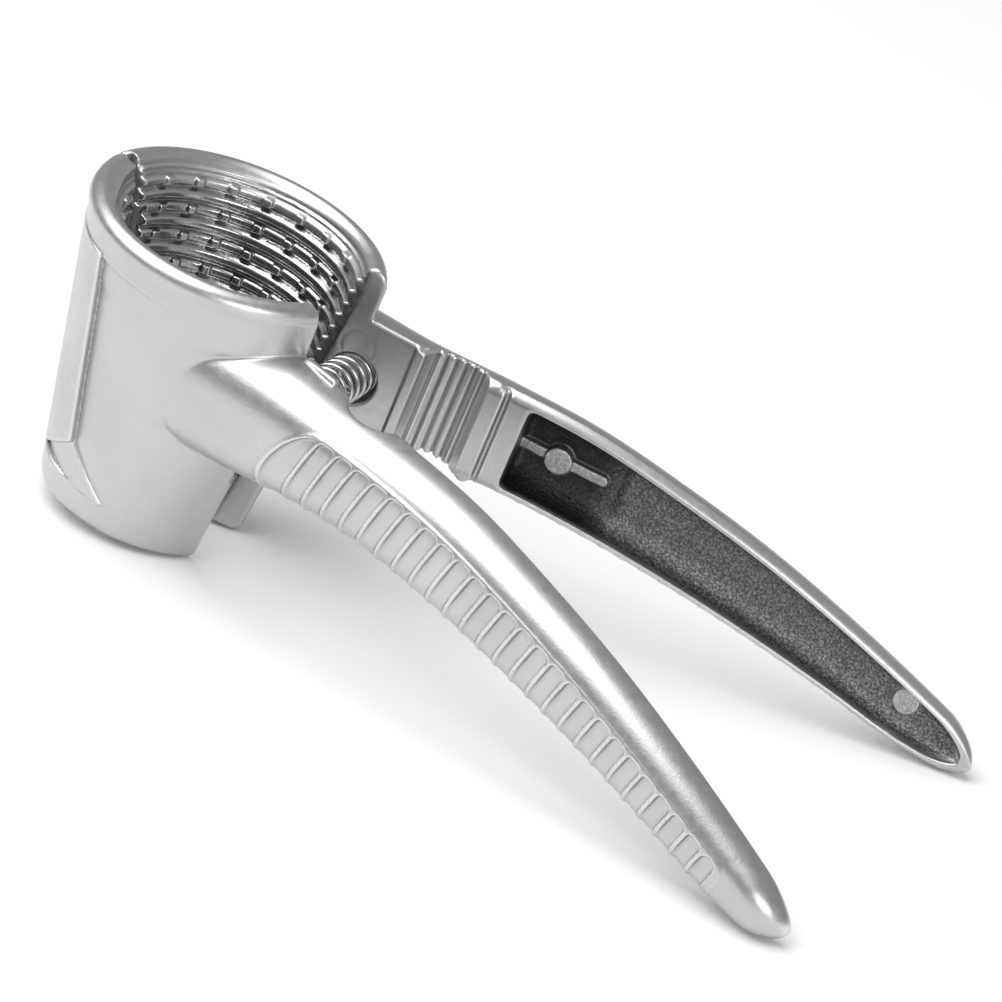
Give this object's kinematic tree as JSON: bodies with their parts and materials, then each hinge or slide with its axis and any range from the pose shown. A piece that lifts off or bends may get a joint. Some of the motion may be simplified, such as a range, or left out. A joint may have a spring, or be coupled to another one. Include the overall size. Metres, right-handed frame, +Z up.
{
  "type": "nutcracker",
  "caption": "Hand-held funnel nutcracker: two die-cast jaws form a ridged conical cup, hinged behind it, with curved handles and a return spring.",
  "frame": {"origin": "centre of the bounding box at its bottom, on the table that the open nutcracker rests on", "axes": "+Z up, +X from the cup towards the handle tips, Y across the two jaws, far jaw on +Y"},
  "size_m": [0.168, 0.0848, 0.062],
  "materials": {
    "cast_satin": "satin nickel plating on cast zinc, fine-grained, brighter on worn edges",
    "pin_steel": "ground steel",
    "spring_steel": "bright drawn spring wire"
  },
  "bodies": {
    "far_side": {"far_jaw": "cast_satin", "return_spring": "spring_steel"},
    "near_side": {"near_jaw": "cast_satin", "hinge_pin": "pin_steel"}
  },
  "joints": [
    {"name": "jaw_hinge", "type": "hinge", "parent": "far_side", "child": "near_side", "pos_m": [-0.08025, 0, 0.03435], "axis": [-0.0088, 0, 1], "range_deg": [0, 26], "stiffness_Nm_per_rad": 1, "deforming": ["return_spring"]}
  ]
}
